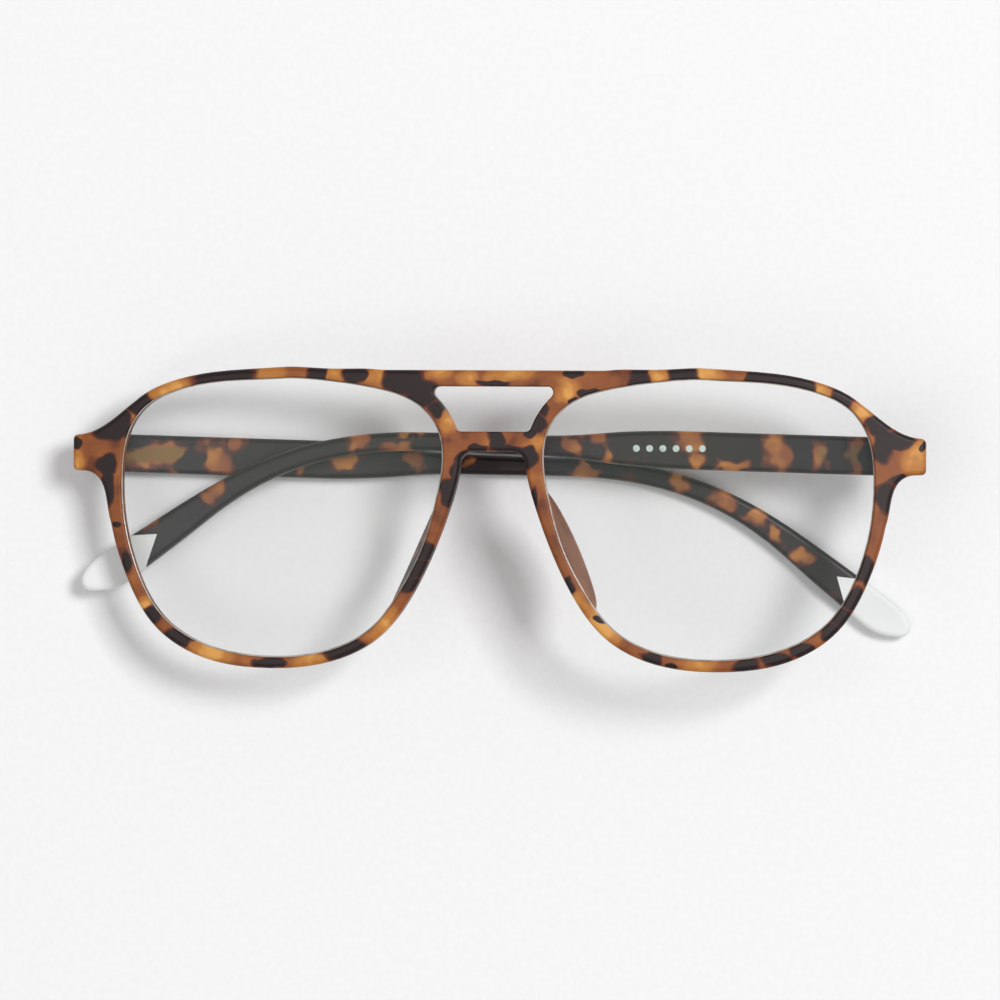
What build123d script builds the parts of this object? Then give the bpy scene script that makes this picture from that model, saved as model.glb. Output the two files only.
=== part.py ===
from build123d import *

import os
from math import atan, cos, degrees, hypot, radians, sin, tan

# Clear glasses with a double bridge, folded. All sizes are in millimetres.
# The front is drawn in its own frame: x to the wearer's left, y up, z forward,
# with x = 0 between the lenses and y = 0 at the middle of their height.
# settle() then lays the folded pair on its right temple, which rests on z = 0.

# Front
lens_width = 55.4
lens_height = 47.2
bridge_width = 15.6
lens_thickness = 2.0
groove_depth = 0.4
lens_setback = 0.6
front_thickness = 3.9
front_curve_radius = 400.0
end_piece_overhang = 8.0
end_piece_top = 2.95
end_piece_bottom = 3.0
end_piece_corner_round = 0.8
outline_blend = 6.0
front_edge_round = 0.8
back_edge_round = 0.5
aperture_edge_round = 0.3
brow_rise = 0.95
brow_bar_height = 2.65
bridge_gap_height = 7.5
lower_bridge_height = 3.3
bridge_corner_round = 1.0
bridge_arch_round = 2.2

# Nose wings
wing_height = 20.0
wing_middle = -5.0
wing_depth = 6.8
wing_root = 2.7
wing_inset = 0.6
wing_thickness = 1.4
wing_tip_thickness = 1.3
wing_splay = 17.0
wing_edge_round = 0.5

# Hinges
hinge_height = 10.7
hinge_stand_off = 1.5
hinge_inset = 1.5
knuckle_radius = 1.2
upper_knuckle = 1.4
middle_knuckle = 1.6
lower_knuckle = 2.0
knuckle_gap = 0.05
screw_radius = 0.7
screw_clearance = 0.03
screw_head_radius = 1.05
screw_head_height = 0.45
screw_slot_width = 0.3
screw_slot_depth = 0.22
front_leg_depth = 2.2
front_plate_width = 2.9
front_plate_thickness = 0.8
boss_face = 10.4
boss_width = 7.6
boss_height = 6.6
boss_depth = 3.0
temple_plate_start = 5.7
temple_plate_height = 2.7
temple_plate_steps = ((1.9, 1.9), (3.8, 1.4), (1.8, 0.8))
anchor_hole_radius = 0.6

# Temples
temple_length = 143.5
temple_thickness = 3.3
temple_root_height = 6.4
temple_edge_round = 0.9
temple_butt_gap = 0.2
bend_start = 81.0
bend_radius = 57.5
ear_angle = 36.6
mouth_depth = 15.7

# Folded pose
right_temple_droop = 5.5
fold_gap = 0.4
fold_cant = 1.5

# The lens opening, as shares of its half width and half height, going round from
# the top towards the temple, and the width of the rim outside each point in mm.
OPENING = (
    (0.00, 1.000, 1.80),
    (0.36, 0.978, 1.65),
    (0.66, 0.910, 1.65),
    (0.855, 0.790, 1.80),
    (0.965, 0.590, 2.20),
    (1.00, 0.300, 2.40),
    (0.985, -0.010, 2.30),
    (0.90, -0.390, 2.00),
    (0.73, -0.725, 2.05),
    (0.45, -0.925, 2.10),
    (0.08, -1.000, 1.85),
    (-0.29, -0.955, 1.80),
    (-0.56, -0.795, 1.85),
    (-0.74, -0.525, 1.95),
    (-0.875, -0.215, 1.85),
    (-0.965, 0.150, 2.45),
    (-1.00, 0.430, 2.80),
    (-0.965, 0.650, 2.60),
    (-0.835, 0.825, 2.80),
    (-0.61, 0.925, 3.10),
    (-0.30, 0.983, 1.95),
)
NOSE_SIDE = slice(12, 17)

# The flare of the end piece: distance back from its side, and height above its top
# corner; then distance back, and depth below its bottom corner.
FLARE_TOP = ((12.5, 6.8), (8.9, 4.25), (5.6, 1.75), (0.0, 0.0))
FLARE_UNDER = ((2.3, 0.1), (4.6, 1.5), (5.8, 4.9), (6.6, 8.6))

# Height of the temple at distances from the hinge, measured along its middle line.
TEMPLE_HEIGHTS = (
    (36.0, 6.40),
    (42.0, 6.05),
    (46.5, 5.45),
    (50.5, 4.60),
    (54.5, 3.85),
    (60.0, 3.40),
    (70.0, 3.15),
    (83.0, 3.15),
    (96.0, 3.25),
    (108.0, 3.65),
    (117.0, 4.35),
    (124.0, 5.15),
    (132.0, 5.80),
)

# Where the corners of the front's outline are, roughly, as shares of a lens centre's
# distance from the middle.
GAP_CORNER = 0.33
ARCH_CORNER = 0.16
BROW_END = 0.53
FLARE_END = 1.82

# The rounded end of the temple tip: distance back from the end, and side.
TIP_END = (
    (5.1, 3.10),
    (2.3, 2.65),
    (0.5, 1.40),
    (0.3, 0.00),
    (1.8, -1.50),
    (4.2, -2.70),
    (7.2, -3.15),
)

# The V-shaped mouth, run out past the end of the temple: distance beyond the V's point, and side.
MOUTH = ((0.0, 0.55), (6.3, 4.4), (21.7, 12.0), (21.7, -12.0), (6.9, -4.5))

lens_centre = (bridge_width + lens_width) / 2
front_half = lens_centre + lens_width / 2 + end_piece_overhang
brow_top = lens_height / 2 + brow_rise
gap_top = brow_top - brow_bar_height
lower_bridge_top = gap_top - bridge_gap_height
lower_bridge_bottom = lower_bridge_top - lower_bridge_height
hinge_x = front_half - temple_thickness - hinge_inset
hinge_z = -boss_face - hinge_stand_off
stack_top = (upper_knuckle + middle_knuckle + lower_knuckle) / 2 + knuckle_gap
stack_bottom = -stack_top


def closed_curve(points):
    return make_face(Spline(*points, periodic=True))


def opening_points(margin):
    """Points of the lens outline, about the lens centre, drawn in by margin."""
    half_width = lens_width / 2 - margin
    half_height = lens_height / 2 - margin
    return [(a * half_width, b * half_height) for a, b, _ in OPENING]


def rim_points(inward=0):
    """Points of the rim's outer edge, or of a line that far in from it."""
    inner = opening_points(groove_depth)
    outer = []
    for i, (x, y) in enumerate(inner):
        before = inner[i - 1]
        after = inner[(i + 1) % len(inner)]
        run = (after[0] - before[0], after[1] - before[1])
        width = (OPENING[i][2] - inward) / hypot(*run)
        outer.append((x - run[1] * width, y + run[0] * width))
    return outer


def lens_place():
    return Pos(lens_centre, 0, 0)


def end_piece_face():
    """The flare from the rim to the hinge, between its top and bottom curves."""
    top = hinge_height + end_piece_top
    bottom = hinge_height - end_piece_bottom
    rim_side = lens_centre + lens_width / 2 - 1.2
    upper = [(front_half - back, top + up) for back, up in FLARE_TOP]
    lower = [(front_half - back, bottom - down) for back, down in FLARE_UNDER]
    corner = (front_half, bottom)
    inside_rim = ((rim_side - 1.0, lower[-1][1]), (rim_side - 5.0, upper[0][1]))
    side = Polyline(upper[-1], corner, lower[0])
    back = Polyline(lower[-1], *inside_rim, upper[0])
    return make_face([Spline(*upper), side, Spline(*lower), back])


def strip(bottom, top, half_length):
    return Pos(0, (bottom + top) / 2) * Rectangle(2 * half_length, top - bottom)


def both_sides(shape):
    return shape + mirror(shape, about=Plane.YZ)


def curved_slab(thickness, setback):
    """A sheet bent about an upright axis, like the whole front."""
    outer = Cylinder(front_curve_radius - setback, 3 * lens_height)
    inner = Cylinder(front_curve_radius - setback - thickness, 4 * lens_height)
    return Pos(0, 0, -front_curve_radius) * Rot(90, 0, 0) * (outer - inner)


def front_outline():
    rim = lens_place() * closed_curve(rim_points())
    side = rim + end_piece_face()
    bars = strip(gap_top, brow_top, BROW_END * lens_centre)
    bars += strip(lower_bridge_bottom, lower_bridge_top, bridge_width / 2)
    return both_sides(side) + bars


def lens():
    """A clear lens bent like the front. Its edge fills the groove of its rim."""
    blank = extrude(closed_curve(opening_points(0)), -4 * front_thickness)
    return lens_place() * blank & curved_slab(lens_thickness, lens_setback)


def upright_edges(solid, x, y):
    """The upright edges nearest to a point of the outline and to its mirror image."""
    lines = solid.edges().filter_by(Axis.Z)
    near = lines.sort_by(lambda e: hypot(abs(e.center().X) - x, e.center().Y - y))
    return near[:2]


def front_plate():
    """The flat outline with its corners rounded, before it is bent."""
    plate = extrude(front_outline(), -8 * front_thickness)
    flare_end = hinge_height - end_piece_bottom - FLARE_UNDER[-1][1]
    corners = (
        (GAP_CORNER * lens_centre, gap_top, bridge_corner_round),
        (ARCH_CORNER * lens_centre, lower_bridge_top, bridge_corner_round),
        (ARCH_CORNER * lens_centre, lower_bridge_bottom, bridge_arch_round),
        (front_half, hinge_height + end_piece_top, end_piece_corner_round),
        (front_half, hinge_height - end_piece_bottom, end_piece_corner_round),
        (BROW_END * lens_centre, brow_top, outline_blend),
        (FLARE_END * lens_centre, flare_end, outline_blend),
    )
    for x, y, radius in corners:
        plate = fillet(upright_edges(plate, x, y), radius)
    opening = extrude(closed_curve(opening_points(groove_depth)), -8 * front_thickness)
    return plate - both_sides(lens_place() * opening)


def bent_faces(plate):
    """The broad front and back faces of the bent plate."""
    broad = plate.faces().filter_by(GeomType.CYLINDER).sort_by(SortBy.AREA)[-2:]
    return broad.sort_by(Axis.Z)


def rounded_front():
    """The plate bent about an upright axis, with its edges rounded."""
    plate = front_plate() & curved_slab(front_thickness, 0)
    plate = fillet(bent_faces(plate)[1].outer_wire().edges(), front_edge_round)
    plate = fillet(bent_faces(plate)[0].outer_wire().edges(), back_edge_round)
    for side in (1, 0):
        inner = bent_faces(plate)[side].inner_wires()
        edges = ShapeList([edge for wire in inner for edge in wire.edges()])
        plate = fillet(edges, aperture_edge_round)
    return plate


def hinge_boss():
    """The flat-backed block behind each end piece, which the temple meets when open."""
    reach = Pos(front_half - boss_width / 2, hinge_height) * Rectangle(boss_width, boss_height)
    face = end_piece_face() & reach
    boss = Pos(0, 0, -boss_face) * extrude(face, boss_depth)
    corners = boss.edges().filter_by(Axis.Z).sort_by(Axis.X)[-2:]
    return fillet(corners, end_piece_corner_round)


def wing_section(inward, thickness):
    """A strip along the nose side of the rim, this far in from the rim's outer edge."""
    x, y = lens_centre, 0
    near = [(x + px, y + py) for px, py in rim_points(inward)[NOSE_SIDE]]
    far = [(x + px, y + py) for px, py in rim_points(inward + thickness)[NOSE_SIDE]]
    return make_face([Spline(*near), Spline(*far), Line(near[0], far[0]), Line(near[-1], far[-1])])


def nose_wing():
    """A thin wing behind the nose side of the rim, splayed outwards, with a round edge."""
    depth = front_thickness + wing_depth
    inset = wing_inset + wing_depth * tan(radians(wing_splay))
    root = Pos(0, 0, -wing_root) * wing_section(wing_inset, wing_thickness)
    tip = Pos(0, 0, -depth - 0.5) * wing_section(inset, wing_tip_thickness)
    wing = loft([root, tip], ruled=True)
    radius = (wing_height**2 / 4 + wing_depth**2) / (2 * wing_depth)
    edge = Rot(0, 90, 0) * Cylinder(radius, 4 * lens_centre)
    wing &= Pos(0, wing_middle, radius - depth) * edge
    curved = wing.faces().filter_by(GeomType.CYLINDER).sort_by(SortBy.AREA)[-1]
    long_edges = curved.edges().sort_by(SortBy.LENGTH)[-2:]
    return fillet(long_edges, wing_edge_round)


def on_axis(radius, bottom, top):
    """A cylinder along the hinge axis, which is the y axis of the hinge's own frame."""
    return Pos(0, (bottom + top) / 2, 0) * Rot(90, 0, 0) * Cylinder(radius, top - bottom)


def block(low, high):
    middle = [(a + b) / 2 for a, b in zip(low, high)]
    return Pos(*middle) * Box(*[b - a for a, b in zip(low, high)])


def front_hinge():
    """Two knuckles on legs that run forward to a plate inside the end piece."""
    leg_end = hinge_stand_off + front_leg_depth
    plate_back = leg_end - front_plate_thickness
    half = front_plate_width / 2
    plate = block((-half, stack_bottom, plate_back), (half, stack_top, leg_end))
    knuckles = (
        (stack_bottom, stack_bottom + lower_knuckle),
        (stack_top - upper_knuckle, stack_top),
    )
    for bottom, top in knuckles:
        plate += on_axis(knuckle_radius, bottom, top)
        plate += block((-knuckle_radius, bottom, 0), (knuckle_radius, top, leg_end))
    return plate - on_axis(screw_radius, stack_bottom, stack_top)


def temple_hinge():
    """One knuckle on an arm that turns back along the temple as a stepped plate."""
    bottom, top = stack_bottom + lower_knuckle + knuckle_gap, stack_top - upper_knuckle - knuckle_gap
    centre = hinge_inset + temple_thickness / 2
    stem = temple_plate_steps[1][1] / 2
    hinge = on_axis(knuckle_radius, bottom, top)
    hinge += block((0, bottom, -2 * knuckle_radius), (centre + stem, top, 0))
    hinge += block((centre - stem, bottom, -temple_plate_start), (centre + stem, top, 0))
    start = temple_plate_start
    half = temple_plate_height / 2
    for length, thickness in temple_plate_steps:
        low = (centre - thickness / 2, -half, -start - length)
        hinge += block(low, (centre + thickness / 2, half, -start))
        start += length
    hole_place = temple_plate_start + temple_plate_steps[0][0] + temple_plate_steps[1][0] / 2
    hole = Rot(0, 90, 0) * Cylinder(anchor_hole_radius, 4 * temple_thickness)
    hinge -= Pos(centre, 0, -hole_place) * hole
    return hinge - on_axis(screw_radius + screw_clearance, bottom, top)


def hinge_screw():
    """A slotted screw whose shank fills the front knuckles and turns in the temple's."""
    screw = on_axis(screw_radius, stack_bottom, stack_top)
    screw += on_axis(screw_head_radius, stack_top, stack_top + screw_head_height)
    slot = Box(screw_slot_width, 2 * screw_slot_depth, 4 * screw_head_radius)
    return screw - Pos(0, stack_top + screw_head_height, 0) * slot


def along_temple(distance, side):
    """A point of the temple's outline: distance from the hinge, and height off its middle line."""
    if distance <= bend_start:
        return distance, side
    turn = min((distance - bend_start) / bend_radius, radians(ear_angle))
    x = bend_start + (bend_radius + side) * sin(turn)
    y = (bend_radius + side) * cos(turn) - bend_radius
    rest = distance - bend_start - bend_radius * turn
    return x + rest * cos(turn), y - rest * sin(turn)


def direction(start, end):
    length = hypot(end[0] - start[0], end[1] - start[1])
    return ((end[0] - start[0]) / length, (end[1] - start[1]) / length)


def temple_outline():
    half = temple_root_height / 2
    butt = temple_butt_gap - hinge_stand_off
    upper = [along_temple(d, h / 2) for d, h in TEMPLE_HEIGHTS]
    lower = [along_temple(d, -h / 2) for d, h in reversed(TEMPLE_HEIGHTS)]
    end = [along_temple(temple_length - back, side) for back, side in TIP_END]
    leaving = direction(upper[-2], end[0])
    returning = direction(end[-1], lower[1])
    curves = [
        Spline(*upper, tangents=[(1, 0), leaving]),
        Spline(upper[-1], *end, lower[0], tangents=[leaving, returning]),
        Spline(*lower, tangents=[returning, (-1, 0)]),
    ]
    root = Polyline(lower[-1], (butt, -half), (butt, half), upper[0])
    return make_face([*curves, root])


def temple_side(sketch):
    """A drawing of the temple, seen from outside, stood up in the hinge's own frame."""
    return Plane((hinge_inset, 0, 0), x_dir=(0, 0, -1), z_dir=(1, 0, 0)) * sketch


def whole_temple():
    blank = extrude(temple_side(temple_outline()), temple_thickness)
    flat = blank.edges().filter_by(lambda e: abs(e.bounding_box().size.X) < 0.001)
    butt_place = hinge_stand_off - temple_butt_gap
    long_edges = flat.filter_by(lambda e: e.center().Z < butt_place - 0.01)
    return fillet(long_edges, temple_edge_round)


def tongue_region():
    """Everything beyond the V-shaped mouth that takes the tip's tongue."""
    point = temple_length - mouth_depth
    corners = [along_temple(point + beyond, side) for beyond, side in MOUTH]
    outline = Polyline(*corners, close=True)
    region = temple_side(make_face(outline))
    return extrude(region, temple_thickness * 2, both=True)


def to_rest(shape, side, fold=0.0):
    """From a left hinge's own frame to the folded pair, on the left (1) or right (-1)."""
    if side < 0:
        shape = mirror(shape, about=Plane.YZ)
    turned = Rot(0, side * fold, 0) * shape
    return settle(Pos(side * hinge_x, hinge_height, hinge_z) * Rot(0, 0, -fold_cant) * turned)


def settle(shape):
    """Tilt the front so that the right temple lies flat, and stand the pair on z = 0."""
    tilt = radians(right_temple_droop)
    drop = -hinge_x * sin(tilt) + hinge_z * cos(tilt) - hinge_inset - temple_thickness
    return Pos(0, 0, -drop) * Rot(0, -right_temple_droop, 0) * shape


def left_fold():
    """The left temple lies over the right one, tipped just enough to clear its inner face."""
    crossing = bend_start + bend_radius * sin(radians(ear_angle)) * 0.96
    beyond = max(2 * hinge_x - crossing, 0)
    rise = temple_thickness + fold_gap - beyond * tan(radians(right_temple_droop))
    return 90 + degrees(atan(max(rise, 0) / crossing))


def build():
    front_lens = lens()
    side_names = (("left", 1, left_fold()), ("right", -1, 90 - right_temple_droop))
    nodes = {}
    frame = rounded_front() + both_sides(hinge_boss()) + both_sides(nose_wing())
    frame = settle(frame - both_sides(front_lens))
    tongue = tongue_region()
    temple = whole_temple()
    arm_hinge = temple_hinge()
    for name, side, fold in side_names:
        hinge = to_rest(front_hinge(), side)
        frame -= hinge
        lens_here = front_lens if side > 0 else mirror(front_lens, about=Plane.YZ)
        nodes["lens_" + name] = settle(lens_here)
        nodes["front_hinge_" + name] = hinge
        nodes["hinge_screw_" + name] = to_rest(hinge_screw(), side)
        nodes["temple_" + name] = to_rest(temple - tongue - arm_hinge, side, fold)
        nodes["temple_tip_" + name] = to_rest(temple & tongue, side, fold)
        nodes["temple_hinge_" + name] = to_rest(arm_hinge, side, fold)
    nodes["front_frame"] = frame
    return nodes


nodes = build()
bounds = Compound(list(nodes.values())).bounding_box()
middle = bounds.center()
to_origin = Pos(-middle.X, -middle.Y, -bounds.min.Z)
os.makedirs("parts", exist_ok=True)
for name, shape in nodes.items():
    export_step(to_origin * shape, "parts/" + name + ".step")
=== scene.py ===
from math import radians

import bmesh
import bpy
from mathutils import Matrix, Vector


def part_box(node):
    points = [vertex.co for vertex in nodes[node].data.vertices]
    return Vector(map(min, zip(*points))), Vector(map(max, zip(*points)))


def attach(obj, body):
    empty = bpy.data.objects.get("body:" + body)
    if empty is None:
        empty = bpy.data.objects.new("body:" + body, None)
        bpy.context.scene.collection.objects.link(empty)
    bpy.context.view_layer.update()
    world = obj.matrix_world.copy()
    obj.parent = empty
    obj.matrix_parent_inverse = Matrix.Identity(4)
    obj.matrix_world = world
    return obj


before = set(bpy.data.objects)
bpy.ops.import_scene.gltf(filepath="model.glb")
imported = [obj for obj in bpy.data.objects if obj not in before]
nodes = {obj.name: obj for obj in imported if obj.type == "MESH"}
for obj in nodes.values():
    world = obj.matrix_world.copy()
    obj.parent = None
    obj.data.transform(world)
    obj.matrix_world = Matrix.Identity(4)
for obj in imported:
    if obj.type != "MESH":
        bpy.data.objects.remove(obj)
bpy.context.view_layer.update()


# ---- Front ---------------------------------------------------------------------------
# One injection moulding in tortoiseshell plastic: rims, double bridge, end pieces and
# nose wings. It is left matt, with a soft tumbled finish and no paint.
def new_group(name, inputs, outputs):
    group = bpy.data.node_groups.new(name, "ShaderNodeTree")
    for label, kind, value in inputs:
        socket = group.interface.new_socket(label, in_out="INPUT", socket_type=kind)
        if value is not None:
            socket.default_value = value
    for label, kind in outputs:
        group.interface.new_socket(label, in_out="OUTPUT", socket_type=kind)
    return group, group.nodes.new("NodeGroupInput"), group.nodes.new("NodeGroupOutput")


def calculate(tree, operation, first, second, third=None):
    node = tree.nodes.new("ShaderNodeMath")
    node.operation = operation
    for socket, value in zip(node.inputs, (first, second, third)):
        if isinstance(value, (int, float)):
            socket.default_value = value
        elif value is not None:
            tree.links.new(value, socket)
    return node.outputs[0]


def noise(tree, where, scale, detail, roughness=0.5):
    node = tree.nodes.new("ShaderNodeTexNoise")
    node.inputs["Scale"].default_value = scale
    node.inputs["Detail"].default_value = detail
    node.inputs["Roughness"].default_value = roughness
    tree.links.new(where, node.inputs["Vector"])
    return node


def linear(red, green, blue):
    """A colour read off a swatch, made ready for a shader."""
    return tuple((c / 255) ** 2.2 for c in (red, green, blue)) + (1.0,)


def colour_ramp(tree, value, stops, interpolation="EASE"):
    node = tree.nodes.new("ShaderNodeValToRGB")
    ramp = node.color_ramp
    ramp.interpolation = interpolation
    ramp.elements[0].position, ramp.elements[0].color = stops[0]
    ramp.elements[1].position, ramp.elements[1].color = stops[-1]
    for position, colour in stops[1:-1]:
        ramp.elements.new(position).color = colour
    tree.links.new(value, node.inputs["Fac"])
    return node.outputs["Color"]


# Tortoiseshell: amber resin, gold where it glows, with near-black clouds that have a thin
# reddish edge.
tortoise, given, result = new_group(
    "tortoise_resin",
    [
        ("Vector", "NodeSocketVector", None),
        ("Cloud", "NodeSocketFloat", 0.0),
        ("Glow", "NodeSocketFloat", 0.0),
    ],
    [("Color", "NodeSocketColor")],
)
streaks = noise(tortoise, given.outputs["Vector"], 260.0, 2.0, 0.45)
amber = calculate(tortoise, "MULTIPLY_ADD", streaks.outputs["Fac"], 0.9, -0.12)
amber = calculate(tortoise, "MULTIPLY_ADD", given.outputs["Glow"], 0.55, amber)
resin = colour_ramp(
    tortoise,
    amber,
    (
        (0.05, linear(92, 47, 28)),
        (0.36, linear(136, 76, 38)),
        (0.72, linear(178, 114, 52)),
        (1.0, linear(214, 152, 78)),
    ),
)
fleck = noise(tortoise, given.outputs["Vector"], 700.0, 2.0)
ragged = calculate(tortoise, "MULTIPLY_ADD", fleck.outputs["Fac"], 0.16, -0.08)
ragged = calculate(tortoise, "ADD", ragged, given.outputs["Cloud"])


def cover(tree, under, over, mask, start, end):
    """Lays a colour over another where the mask rises from start to end."""
    rise = tree.nodes.new("ShaderNodeMapRange")
    rise.interpolation_type = "SMOOTHSTEP"
    rise.inputs["From Min"].default_value = start
    rise.inputs["From Max"].default_value = end
    tree.links.new(mask, rise.inputs["Value"])
    mix = tree.nodes.new("ShaderNodeMix")
    mix.data_type = "RGBA"
    tree.links.new(rise.outputs["Result"], mix.inputs["Factor"])
    tree.links.new(under, mix.inputs["A"])
    mix.inputs["B"].default_value = over
    return mix.outputs["Result"]


edged = cover(tortoise, resin, linear(80, 36, 24), ragged, 0.12, 0.48)
clouded = cover(tortoise, edged, linear(38, 24, 23), ragged, 0.46, 0.66)
tortoise.links.new(clouded, result.inputs["Color"])

# One cloud or one glowing place in the resin: an oval that runs right through the plastic.
patch, given, result = new_group(
    "resin_patch",
    [
        ("Vector", "NodeSocketVector", None),
        ("Centre", "NodeSocketVector", None),
        ("Size", "NodeSocketVector", None),
        ("Softness", "NodeSocketFloat", 0.45),
        ("Most", "NodeSocketFloat", 0.0),
    ],
    [("Most", "NodeSocketFloat")],
)
offset = patch.nodes.new("ShaderNodeVectorMath")
offset.operation = "SUBTRACT"
patch.links.new(given.outputs["Vector"], offset.inputs[0])
patch.links.new(given.outputs["Centre"], offset.inputs[1])
scaled = patch.nodes.new("ShaderNodeVectorMath")
scaled.operation = "DIVIDE"
patch.links.new(offset.outputs["Vector"], scaled.inputs[0])
patch.links.new(given.outputs["Size"], scaled.inputs[1])
reach = patch.nodes.new("ShaderNodeVectorMath")
reach.operation = "LENGTH"
patch.links.new(scaled.outputs["Vector"], reach.inputs[0])
fall = patch.nodes.new("ShaderNodeMapRange")
fall.inputs["To Min"].default_value = 1.0
fall.inputs["To Max"].default_value = 0.0
patch.links.new(calculate(patch, "SUBTRACT", 1.0, given.outputs["Softness"]), fall.inputs["From Min"])
patch.links.new(calculate(patch, "ADD", 1.0, given.outputs["Softness"]), fall.inputs["From Max"])
patch.links.new(reach.outputs["Value"], fall.inputs["Value"])
most = calculate(patch, "MAXIMUM", fall.outputs["Result"], given.outputs["Most"])
patch.links.new(most, result.inputs["Most"])

# The matt tumbled skin: a very fine grain, with faint rubbed places that shine more.
skin, given, result = new_group(
    "tumbled_skin",
    [("Vector", "NodeSocketVector", None), ("Roughness", "NodeSocketFloat", 0.45)],
    [("Roughness", "NodeSocketFloat"), ("Height", "NodeSocketFloat")],
)
rubbed = noise(skin, given.outputs["Vector"], 160.0, 3.0)
rough = calculate(skin, "MULTIPLY_ADD", rubbed.outputs["Fac"], 0.16, -0.08)
rough = calculate(skin, "ADD", rough, given.outputs["Roughness"])
grain = noise(skin, given.outputs["Vector"], 5200.0, 2.0)
skin.links.new(rough, result.inputs["Roughness"])
skin.links.new(grain.outputs["Fac"], result.inputs["Height"])


def place(tree, group, **values):
    node = tree.nodes.new("ShaderNodeGroup")
    node.node_tree = group
    for label, value in values.items():
        socket = node.inputs[label]
        if isinstance(value, bpy.types.NodeSocket):
            tree.links.new(value, socket)
        else:
            socket.default_value = value
    return node


def new_material(name, **plain):
    material = bpy.data.materials.new(name)
    material.use_nodes = True
    shader = material.node_tree.nodes["Principled BSDF"]
    for label, value in plain.items():
        shader.inputs[label.replace("_", " ")].default_value = value
    where = material.node_tree.nodes.new("ShaderNodeTexCoord").outputs["Object"]
    return material, material.node_tree, shader, where


def skin_on(tree, shader, where, roughness, height):
    """Adds the tumbled skin's roughness and grain to a plastic."""
    finish = place(tree, skin, Vector=where, Roughness=roughness)
    tree.links.new(finish.outputs["Roughness"], shader.inputs["Roughness"])
    bump = tree.nodes.new("ShaderNodeBump")
    bump.inputs["Strength"].default_value = 0.25
    bump.inputs["Distance"].default_value = height
    tree.links.new(finish.outputs["Height"], bump.inputs["Height"])
    tree.links.new(bump.outputs["Normal"], shader.inputs["Normal"])


def patches(tree, where, places, softness):
    """The strongest of several patches, each given in millimetres: x, y, half-length, half-height."""
    most = 0.0
    for x, y, *size in places:
        half = (size[0] / 1000, size[-1] / 1000, 1.0)
        centre = (x / 1000, y / 1000, 0.0)
        spot = place(tree, patch, Vector=where, Centre=centre, Size=half, Softness=softness, Most=most)
        most = spot.outputs["Most"]
    return most


def ripple(tree, where, wander):
    """Wanders the patches' outlines, by up to half of wander either way."""
    waves = noise(tree, where, 330.0, 1.0)
    shifted = tree.nodes.new("ShaderNodeVectorMath")
    shifted.operation = "MULTIPLY_ADD"
    shifted.inputs[1].default_value = (wander, wander, 0.0)
    tree.links.new(waves.outputs["Color"], shifted.inputs[0])
    centred = tree.nodes.new("ShaderNodeVectorMath")
    centred.operation = "SUBTRACT"
    centred.inputs[1].default_value = (wander / 2, wander / 2, 0.0)
    tree.links.new(where, centred.inputs[0])
    tree.links.new(centred.outputs["Vector"], shifted.inputs[2])
    return shifted.outputs["Vector"]


def give(node_name, material):
    """Puts a finish on a carried-over part."""
    part = nodes[node_name]
    part.data.materials.clear()
    part.data.materials.append(material)


FRONT_CLOUDS = (
    (-45.5, 23.6, 5.0, 2.6), (-60.0, 19.0, 2.2), (-64.6, 14.8, 3.3, 1.8), (-63.0, 16.2, 1.6),
    (-70.3, 11.9, 1.0, 1.2), (-65.4, 8.6, 1.7, 1.5), (-65.3, 4.8, 1.2, 3.4), (-63.5, -1.3, 0.7),
    (-62.0, -7.8, 1.1, 2.0), (-57.4, -16.5, 1.5), (-53.3, -20.1, 2.3, 1.4), (-37.6, -24.2, 2.6, 0.9),
    (-24.8, -21.8, 4.3, 1.9), (-14.4, -10.9, 1.6), (-13.0, -8.1, 1.6), (-11.8, -5.4, 1.4),
    (-3.4, 11.3, 1.6, 0.8), (-5.6, 9.8, 1.2), (-6.6, 7.2, 1.1, 2.0), (-7.8, 4.4, 1.6, 2.2),
    (-0.5, 13.0, 1.4, 2.0), (2.1, 11.3, 2.6, 0.9), (5.0, 10.0, 1.6, 1.8),
    (7.5, 18.0, 1.1), (6.4, 15.7, 1.3), (5.4, 14.2, 1.0), (-0.5, 22.4, 2.4, 0.5),
    (-29.8, 24.0, 1.8, 2.0), (-23.5, 24.0, 1.8, 1.6), (-15.6, 23.0, 3.2, 2.6), (-12.6, 20.6, 2.2),
    (-10.0, 18.2, 1.4), (12.5, 24.3, 1.8, 0.7), (12.5, 19.7, 1.0, 0.8), (15.4, 20.9, 2.0, 0.6),
    (23.3, 23.2, 1.9, 1.7), (30.7, 23.9, 2.4, 2.0), (42.6, 23.4, 1.8, 1.6), (46.4, 23.0, 2.4, 1.6),
    (49.7, 22.5, 2.4, 1.6), (57.0, 20.4, 2.1, 1.7), (62.6, 15.6, 2.0, 1.7), (63.6, 12.2, 1.8, 3.0),
    (66.2, 13.4, 2.4, 1.5), (64.0, 3.8, 1.8, 2.6), (66.2, 6.6, 1.8, 0.9), (70.3, 12.0, 0.5, 0.9),
    (60.8, -8.2, 1.5, 2.4), (59.0, -12.9, 1.7), (57.0, -15.8, 1.7), (55.0, -18.3, 1.6),
    (50.6, -21.4, 2.0, 1.2), (46.4, -22.7, 2.5, 1.3), (41.2, -23.8, 2.3, 1.3), (25.7, -22.9, 1.7, 1.2),
    (28.8, -24.2, 0.8), (11.8, -11.2, 0.8, 1.3), (16.9, -16.3, 0.8), (6.1, 3.1, 0.7, 2.4),
)
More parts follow.
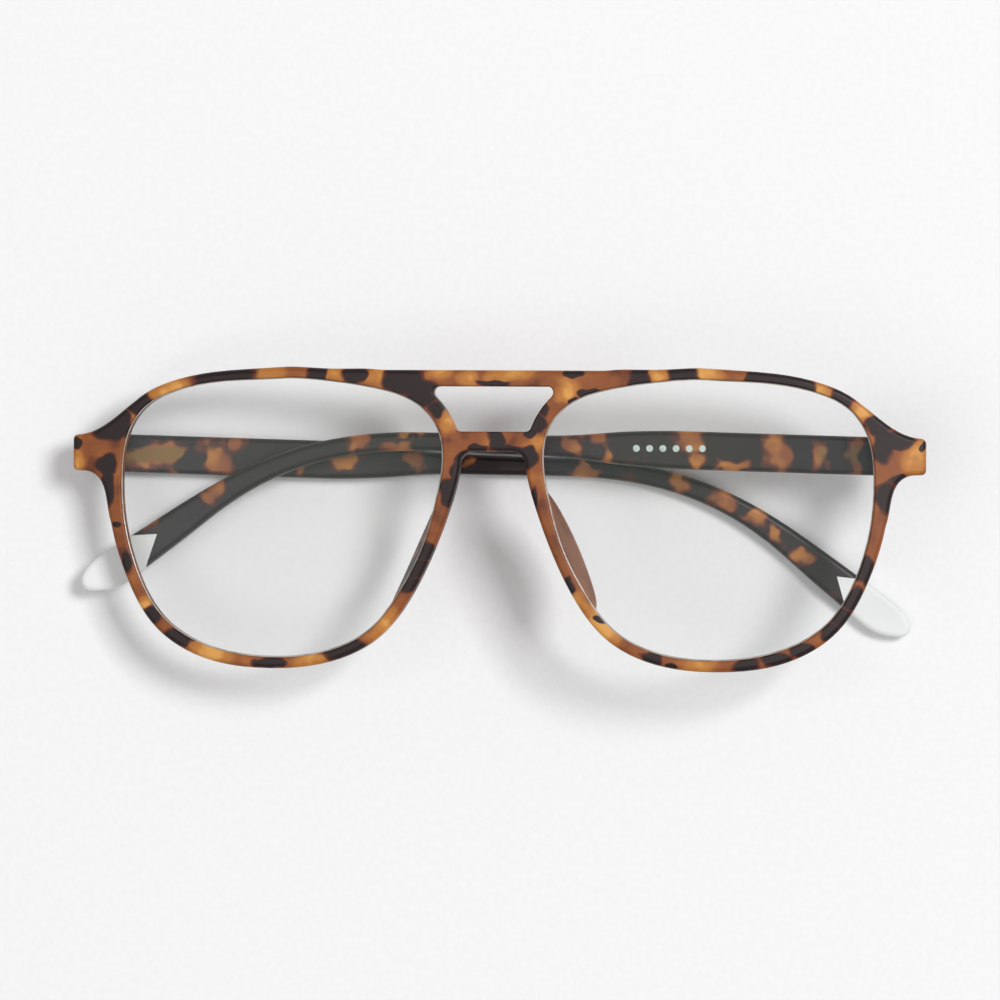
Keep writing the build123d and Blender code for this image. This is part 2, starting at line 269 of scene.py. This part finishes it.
FRONT_GLOWS = (
    (-61.7, 17.3, 1.1), (-54.4, 21.6, 3.4, 2.0), (-38.5, 24.0, 2.4), (-27.2, 24.2, 1.4), (-20.0, 23.6, 1.9),
    (-9.7, 24.2, 2.2, 1.4), (3.0, 23.8, 3.4, 1.3), (11.5, 21.6, 1.7), (26.6, 23.8, 1.4), (34.4, 24.2, 2.4),
    (53.4, 21.7, 1.6), (60.0, 17.8, 1.4), (69.0, 10.6, 2.2), (-58.5, -14.9, 1.0), (-47.9, -22.4, 3.4),
    (-30.4, -23.6, 2.0), (-18.7, -18.0, 2.4), (6.9, 12.6, 2.0, 1.3), (17.2, -17.8, 3.6), (33.3, -24.8, 3.0),
    (-70.2, 9.0, 1.3), (12.9, -13.6, 1.8), (-8.0, 15.6, 1.6), (-4.6, 22.6, 1.6),
)
front_tortoise, tree, shader, where = new_material("front_tortoise", IOR=1.5, Specular_IOR_Level=0.33)
wandering = ripple(tree, where, 0.0026)
clouds = patches(tree, wandering, FRONT_CLOUDS, 0.35)
glows = patches(tree, wandering, FRONT_GLOWS, 0.6)
resin = place(tree, tortoise, Vector=where, Cloud=clouds, Glow=glows)
tree.links.new(resin.outputs["Color"], shader.inputs["Base Color"])
skin_on(tree, shader, where, 0.44, 0.00002)
give("front_frame", front_tortoise)


# ---- Lenses --------------------------------------------------------------------------
# Two clear lenses, pressed into the grooves of the rims, cut from polycarbonate with an
# anti-reflection and blue-light coating that leaves a faint green-grey cast.
clear, tree, shader, where = new_material("coated_lens", Roughness=0.04, IOR=1.5)
edge_on = tree.nodes.new("ShaderNodeLayerWeight")
edge_on.inputs["Blend"].default_value = 0.35
film = calculate(tree, "MULTIPLY_ADD", edge_on.outputs["Facing"], 0.36, 0.03)
tree.links.new(film, shader.inputs["Alpha"])
cast = noise(tree, where, 40.0, 1.0)
tint = colour_ramp(tree, cast.outputs["Fac"], ((0.3, linear(166, 188, 174)), (0.7, linear(162, 182, 182))))
tree.links.new(tint, shader.inputs["Base Color"])
for side in ("left", "right"):
    give("lens_" + side, clear)

# A thin pale ring lifted just off the front of each lens, round its edge: a painted highlight that stands in
# for the light caught by the lens's polished edge.
lens_edge_highlight_paint, tree, shader, where = new_material("lens_edge_painted_highlight", Roughness=0.2, IOR=1.58)
glint = noise(tree, where, 500.0, 2.0)
pale = colour_ramp(tree, glint.outputs["Fac"], ((0.3, linear(150, 138, 128)), (0.7, linear(182, 174, 166))))
tree.links.new(pale, shader.inputs["Base Color"])
NARROWING = (0.978, 0.974, 0.976)
LIFT = 0.00008
RING_THICKNESS = 0.00005
for side in ("left", "right"):
    b = bmesh.new()
    b.from_mesh(nodes["lens_" + side].data)
    bmesh.ops.remove_doubles(b, verts=b.verts, dist=1e-6)
    b.normal_update()
    behind = [face for face in b.faces if face.normal.z < 0.6]
    bmesh.ops.delete(b, geom=behind, context="FACES")
    surface = list(b.faces)
    rim_edges = [edge for edge in b.edges if edge.is_boundary]
    centre = sum((v.co for edge in rim_edges for v in edge.verts), Vector()) / (2 * len(rim_edges))
    ring = bmesh.ops.extrude_edge_only(b, edges=rim_edges)["geom"]
    inner = [v for v in ring if isinstance(v, bmesh.types.BMVert)]
    bmesh.ops.scale(b, vec=NARROWING, space=Matrix.Translation(-centre), verts=inner)
    bmesh.ops.delete(b, geom=surface, context="FACES")
    bmesh.ops.recalc_face_normals(b, faces=b.faces)
    bmesh.ops.translate(b, vec=(0.0, 0.0, LIFT), verts=b.verts)
    bmesh.ops.solidify(b, geom=list(b.faces), thickness=RING_THICKNESS)
    mesh = bpy.data.meshes.new("lens_edge_painted_highlight_" + side)
    b.to_mesh(mesh)
    b.free()
    mesh.materials.append(lens_edge_highlight_paint)
    band = bpy.data.objects.new("lens_edge_painted_highlight_" + side, mesh)
    bpy.context.scene.collection.objects.link(band)
    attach(band, "front")


# ---- Hinges --------------------------------------------------------------------------
# Stamped and milled steel: a two-knuckle piece in each end piece, a one-knuckle piece with
# a stepped plate in each temple, and a slotted screw down the three knuckles.
def steel(name, colour, roughness, scratches):
    material, tree, shader, where = new_material(name, Metallic=1.0)
    stretch = tree.nodes.new("ShaderNodeMapping")
    stretch.inputs["Scale"].default_value = scratches
    tree.links.new(where, stretch.inputs["Vector"])
    brushed = noise(tree, stretch.outputs["Vector"], 1.0, 4.0, 0.6)
    worn = calculate(tree, "MULTIPLY_ADD", brushed.outputs["Fac"], 0.3, roughness - 0.15)
    tree.links.new(worn, shader.inputs["Roughness"])
    dull = tuple(c * 0.72 for c in colour[:3]) + (1.0,)
    shade = colour_ramp(tree, brushed.outputs["Fac"], ((0.3, dull), (0.7, colour)))
    tree.links.new(shade, shader.inputs["Base Color"])
    return material


hinge_steel = steel("hinge_steel", linear(205, 200, 190), 0.32, (3000.0, 400.0, 3000.0))
screw_steel = steel("screw_steel", linear(222, 220, 214), 0.22, (5000.0, 900.0, 5000.0))
for side in ("left", "right"):
    give("front_hinge_" + side, hinge_steel)
    give("temple_hinge_" + side, hinge_steel)
    give("hinge_screw_" + side, screw_steel)


# ---- Temples -------------------------------------------------------------------------
# The two arms, moulded from the same tortoiseshell plastic round the hinge plates. Their
# ear ends are darker.
LEFT_GLOWS = (
    (59.5, 11.0, 1.1, 3.0), (53.6, 11.1, 1.2, 1.8), (46.6, 11.1, 1.9, 3.0), (39.2, 8.9, 2.0, 1.0),
    (32.0, 13.5, 2.0, 1.6), (33.2, 10.2, 1.2, 1.4), (16.5, 13.8, 1.6, 1.1), (18.2, 11.1, 0.8, 1.8),
    (12.7, 12.1, 1.3), (-23.4, 13.0, 1.3, 1.7), (-16.2, 12.0, 2.0, 0.9), (-14.6, 14.2, 1.5, 0.7),
    (-47.9, 4.6, 1.8, 1.7), (-58.4, 0.0, 1.4), (-60.6, -0.9, 1.2),
)
RIGHT_GLOWS = (
    (-60.0, 10.2, 3.0, 1.8), (-56.0, 10.4, 3.0, 1.7), (-48.0, 10.0, 2.2, 2.2), (-44.1, 12.3, 1.4, 1.1),
    (-33.0, 9.2, 0.9, 1.7), (-25.7, 10.0, 2.0, 1.4), (-13.9, 9.2, 1.2, 2.1), (-4.7, 10.0, 1.0, 0.8),
    (14.9, 7.8, 1.5, 1.1), (30.4, 6.6, 1.6, 1.7), (38.5, 3.4, 1.8, 1.4), (43.3, 0.9, 1.5, 1.1),
    (47.0, -2.1, 1.1), (51.7, -6.0, 1.5, 1.1),
)
RIGHT_CLOUDS = ((-52.2, 9.0, 1.9, 1.7),)


# The steel plate seen dimly inside the resin, where the resin glows: an olive oblong.
buried_plate, given, result = new_group(
    "buried_plate",
    [
        ("Vector", "NodeSocketVector", None),
        ("Low", "NodeSocketVector", None),
        ("High", "NodeSocketVector", None),
        ("Cloud", "NodeSocketFloat", 0.0),
        ("Color", "NodeSocketColor", None),
    ],
    [("Color", "NodeSocketColor")],
)
edges = []
for first, second in (("Vector", "Low"), ("High", "Vector")):
    gap = buried_plate.nodes.new("ShaderNodeVectorMath")
    gap.operation = "SUBTRACT"
    buried_plate.links.new(given.outputs[first], gap.inputs[0])
    buried_plate.links.new(given.outputs[second], gap.inputs[1])
    parts = buried_plate.nodes.new("ShaderNodeSeparateXYZ")
    buried_plate.links.new(gap.outputs["Vector"], parts.inputs["Vector"])
    edges += [parts.outputs["X"], parts.outputs["Y"]]
nearest = edges[0]
for edge in edges[1:]:
    nearest = calculate(buried_plate, "MINIMUM", nearest, edge)
blurred = calculate(buried_plate, "MULTIPLY_ADD", nearest, 2500.0, 0.3)
blurred = calculate(buried_plate, "MAXIMUM", blurred, 0.0)
clearness = calculate(buried_plate, "SUBTRACT", 0.75, given.outputs["Cloud"])
clearness = calculate(buried_plate, "MAXIMUM", clearness, 0.0)
seen = calculate(buried_plate, "MULTIPLY", calculate(buried_plate, "MINIMUM", blurred, 1.0), clearness)
olive = cover(buried_plate, given.outputs["Color"], linear(128, 98, 48), seen, 0.0, 0.9)
buried_plate.links.new(olive, result.inputs["Color"])


def temple_tortoise(name, plate, glow_places, cloud_places):
    """The front's resin the other way round: clouded all over, but for its glowing places."""
    material, tree, shader, where = new_material(name, IOR=1.5, Specular_IOR_Level=0.36)
    wandering = ripple(tree, where, 0.0045)
    glows = patches(tree, wandering, glow_places, 0.9)
    drift = noise(tree, where, 210.0, 2.0)
    clouded_over = calculate(tree, "MULTIPLY_ADD", drift.outputs["Fac"], 1.5, 0.12)
    clouds = calculate(tree, "MULTIPLY_ADD", glows, -1.15, clouded_over)
    if cloud_places:
        clouds = calculate(tree, "MAXIMUM", clouds, patches(tree, wandering, cloud_places, 0.3))
    glow = calculate(tree, "MULTIPLY", glows, 0.4)
    resin = place(tree, tortoise, Vector=where, Cloud=clouds, Glow=glow)
    low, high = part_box(plate)
    buried = place(tree, buried_plate, Vector=where, Low=low, High=high)
    tree.links.new(resin.outputs["Color"], buried.inputs["Color"])
    tree.links.new(clouds, buried.inputs["Cloud"])
    tree.links.new(buried.outputs["Color"], shader.inputs["Base Color"])
    skin_on(tree, shader, where, 0.4, 0.00002)
    return material


give("temple_left", temple_tortoise("left_temple_tortoise", "temple_hinge_left", LEFT_GLOWS, ()))
give("temple_right", temple_tortoise("right_temple_tortoise", "temple_hinge_right", RIGHT_GLOWS, RIGHT_CLOUDS))


# Six plain dots, pad-printed in pale mint on the inner face of the left temple.
mint, tree, shader, where = new_material("mint_ink", Roughness=0.55, IOR=1.45)
worn = noise(tree, where, 2500.0, 2.0)
inks = ((0.3, linear(176, 196, 188)), (0.6, linear(204, 218, 210)))
ink = colour_ramp(tree, worn.outputs["Fac"], inks)
tree.links.new(ink, shader.inputs["Base Color"])
bpy.context.view_layer.update()
FIRST_DOT, DOT_SPACING, DOT_HEIGHT = 0.0232, 0.0022, 0.0119
b = bmesh.new()
for number in range(6):
    above = Vector((FIRST_DOT + DOT_SPACING * number, DOT_HEIGHT, 0.05))
    hit, at, facing, _ = nodes["temple_left"].ray_cast(above, Vector((0.0, 0.0, -1.0)))
    seat = Matrix.Translation(at) @ facing.to_track_quat("Z", "Y").to_matrix().to_4x4()
    bmesh.ops.create_cone(
        b, cap_ends=True, segments=20, radius1=0.0006, radius2=0.00055, depth=0.00008, matrix=seat
    )
mesh = bpy.data.meshes.new("temple_dots")
b.to_mesh(mesh)
b.free()
mesh.materials.append(mint)
dots = bpy.data.objects.new("temple_dots", mesh)
bpy.context.scene.collection.objects.link(dots)
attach(dots, "temple_left_body")


# ---- Temple tips ---------------------------------------------------------------------
# White soft-touch plastic, moulded into the V-shaped mouth at the end of each temple.
white, tree, shader, where = new_material("white_tip", IOR=1.46, Specular_IOR_Level=0.35)
mottle = noise(tree, where, 90.0, 3.0)
pale = colour_ramp(tree, mottle.outputs["Fac"], ((0.3, linear(226, 229, 228)), (0.7, linear(235, 237, 236))))
tree.links.new(pale, shader.inputs["Base Color"])
skin_on(tree, shader, where, 0.5, 0.00002)
for side in ("left", "right"):
    give("temple_tip_" + side, white)


# ---- Studio --------------------------------------------------------------------------
# A pale seamless floor, a soft overhead light to the upper right, and a camera that looks
# straight down at the folded pair.
mesh = bpy.data.meshes.new("floor")
b = bmesh.new()
bmesh.ops.create_grid(b, x_segments=1, y_segments=1, size=3.0)
b.to_mesh(mesh)
b.free()
floor = bpy.data.objects.new("floor", mesh)
bpy.context.scene.collection.objects.link(floor)
paper, tree, shader, where = new_material("seamless_paper", Roughness=0.9)
fibre = noise(tree, where, 900.0, 2.0)
sheet = colour_ramp(tree, fibre.outputs["Fac"], ((0.3, (0.86, 0.86, 0.865, 1)), (0.7, (0.88, 0.88, 0.885, 1))))
tree.links.new(sheet, shader.inputs["Base Color"])
mesh.materials.append(paper)

world = bpy.data.worlds.new("studio_air")
bpy.context.scene.world = world
bpy.context.scene.view_settings.view_transform = "Standard"
world.use_nodes = True
world.node_tree.nodes["Background"].inputs["Color"].default_value = (1.0, 1.0, 1.0, 1.0)
world.node_tree.nodes["Background"].inputs["Strength"].default_value = 0.33


def soft_light(name, place_at, aim, size, power):
    lamp = bpy.data.lights.new(name, "AREA")
    lamp.shape = "SQUARE"
    lamp.size = size
    lamp.energy = power
    holder = bpy.data.objects.new(name, lamp)
    bpy.context.scene.collection.objects.link(holder)
    holder.location = place_at
    holder.rotation_mode = "QUATERNION"
    holder.rotation_quaternion = (Vector(place_at) - Vector(aim)).to_track_quat("Z", "Y")


soft_light("key_light", (0.95, 0.56, 1.9), (0, 0, 0), 0.66, 30.0)
soft_light("fill_light", (-0.5, -0.2, 1.4), (0, 0, 0), 1.2, 6.4)

camera_data = bpy.data.cameras.new("camera")
camera_data.sensor_width = 36.0
camera_data.lens = 185.5
camera_data.clip_start = 0.01
camera = bpy.data.objects.new("camera", camera_data)
bpy.context.scene.collection.objects.link(camera)
camera.location = (0.00048, 0.003125, 0.873)
camera.rotation_euler = (0.0, 0.0, radians(0.37))
bpy.context.scene.camera = camera

bpy.context.view_layer.update()
